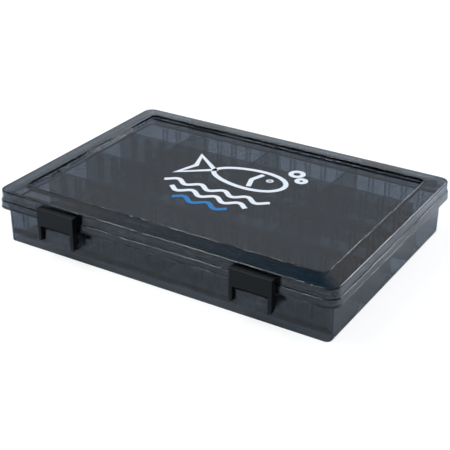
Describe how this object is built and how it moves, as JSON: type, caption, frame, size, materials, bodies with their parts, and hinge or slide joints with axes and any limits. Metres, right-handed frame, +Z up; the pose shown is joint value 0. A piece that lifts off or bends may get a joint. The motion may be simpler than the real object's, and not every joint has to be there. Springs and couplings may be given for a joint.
{
  "type": "tackle box",
  "caption": "Flat smoke-clear tackle case with long divided troughs, a framed lid hinged at the back and black snap latches in front.",
  "frame": {"origin": "centre of the underside, on the plane that the case rests on", "axes": "+X along the front towards the right latch, +Y from the latches to the hinge, +Z up"},
  "size_m": [0.3614, 0.2682, 0.0572],
  "materials": {
    "smoke_plastic_base": "smoke-grey see-through, polished",
    "smoke_plastic_lid": "smoke-grey see-through, polished",
    "smoke_plastic_divider": "smoke-grey see-through, polished",
    "black_plastic": "black, satin",
    "pin_steel": "plain"
  },
  "bodies": {
    "base": {"base_case": "smoke_plastic_base", "left_latch_pin": "pin_steel", "right_latch_pin": "pin_steel", "left_hinge_pin": "pin_steel", "right_hinge_pin": "pin_steel", "divider_row1_left": "smoke_plastic_divider", "divider_row1_middle": "smoke_plastic_divider", "divider_row1_right": "smoke_plastic_divider", "divider_row2_left": "smoke_plastic_divider", "divider_row2_middle": "smoke_plastic_divider", "divider_row2_right": "smoke_plastic_divider", "divider_row3_left": "smoke_plastic_divider", "divider_row3_middle": "smoke_plastic_divider", "divider_row3_right": "smoke_plastic_divider", "divider_row4_left": "smoke_plastic_divider", "divider_row4_middle": "smoke_plastic_divider", "divider_row4_right": "smoke_plastic_divider"},
    "lid": {"lid": "smoke_plastic_lid"},
    "left_latch": {"left_latch": "black_plastic"},
    "right_latch": {"right_latch": "black_plastic"}
  },
  "joints": [
    {"name": "lid_hinge", "type": "hinge", "parent": "base", "child": "lid", "pos_m": [0, 0.131, 0.0458], "axis": [-1, 0, 0], "range_deg": [0, 180]},
    {"name": "left_latch_pivot", "type": "hinge", "parent": "base", "child": "left_latch", "pos_m": [-0.104, -0.1253, 0.0298], "axis": [1, 0, 0], "range_deg": [0, 45]},
    {"name": "right_latch_pivot", "type": "hinge", "parent": "base", "child": "right_latch", "pos_m": [0.104, -0.1253, 0.0298], "axis": [1, 0, 0], "range_deg": [0, 45]}
  ]
}
